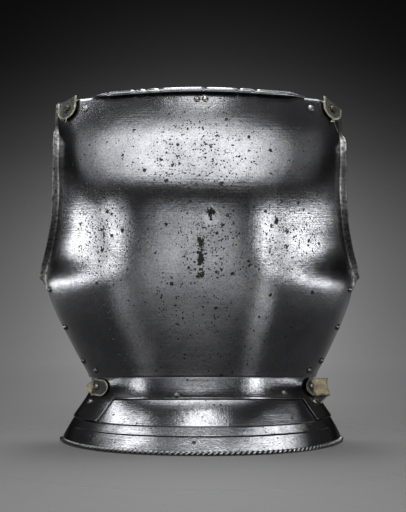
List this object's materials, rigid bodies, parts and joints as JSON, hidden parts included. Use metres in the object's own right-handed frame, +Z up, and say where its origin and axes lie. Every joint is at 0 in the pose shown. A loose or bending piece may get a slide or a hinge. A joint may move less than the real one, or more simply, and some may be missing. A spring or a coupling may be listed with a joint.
{
  "type": "armour backplate",
  "caption": "Polished steel backplate with a turned neck and armholes, a riveted waist plate and a flared, roped culet that tilts on end pivots, with worn leather strap stubs.",
  "frame": {"origin": "On the plane that the rim of the culet stands on, under the middle of the whole object's box.", "axes": "+Z points up from the rim to the neck, -Y is the way the outer face of the back looks, and -X is the wearer's left."},
  "size_m": [0.3779, 0.1527, 0.4056],
  "materials": {
    "plate_steel": "worn polish, pitted, slightly dished by the hammer",
    "rivet_steel": "domed, worn bright",
    "washer_steel": "dull, darkened",
    "dark_leather": "old, dry, flaking, with pale cut edges",
    "buff_leather": "dry buff flesh side"
  },
  "bodies": {
    "back": {"back_plate": "plate_steel", "waist_plate": "plate_steel", "neck_rivets": "rivet_steel", "shoulder_rivets": "rivet_steel", "side_rivets_left": "rivet_steel", "side_rivets_right": "rivet_steel", "waist_rivets": "rivet_steel", "slide_rivets": "rivet_steel", "slide_burrs": "washer_steel", "pivot_rivet_left": "rivet_steel", "pivot_rivet_right": "rivet_steel", "pivot_burr_left": "washer_steel", "pivot_burr_right": "washer_steel", "waist_strap_left": "dark_leather", "waist_strap_right": "buff_leather", "shoulder_strap_rivet_left": "rivet_steel", "shoulder_strap_rivet_right": "rivet_steel", "shoulder_strap_washer_left": "washer_steel", "shoulder_strap_washer_right": "washer_steel", "shoulder_strap_burr_left": "washer_steel", "shoulder_strap_burr_right": "washer_steel", "waist_strap_rivet_left": "rivet_steel", "waist_strap_rivet_right": "rivet_steel", "waist_strap_washer_left": "washer_steel", "waist_strap_washer_right": "washer_steel", "waist_strap_burr_left": "washer_steel", "waist_strap_burr_right": "washer_steel"},
    "culet": {"culet_plate": "plate_steel"},
    "strap_left": {"shoulder_strap_left": "dark_leather"},
    "strap_right": {"shoulder_strap_right": "dark_leather"}
  },
  "joints": [
    {"name": "culet_tilt", "type": "hinge", "parent": "back", "child": "culet", "pos_m": [0, 0.04016, 0.04632], "axis": [1, 0, 0], "range_deg": [0, 2.5]},
    {"name": "left_strap_swivel", "type": "hinge", "parent": "back", "child": "strap_left", "pos_m": [-0.15136, 0.02673, 0.3842], "axis": [-0.599, -0.7006, 0.3878], "range_deg": [-30, 30]},
    {"name": "right_strap_swivel", "type": "hinge", "parent": "back", "child": "strap_right", "pos_m": [0.15235, 0.0304, 0.38416], "axis": [0.6305, -0.6836, 0.3676], "range_deg": [-30, 30]}
  ]
}
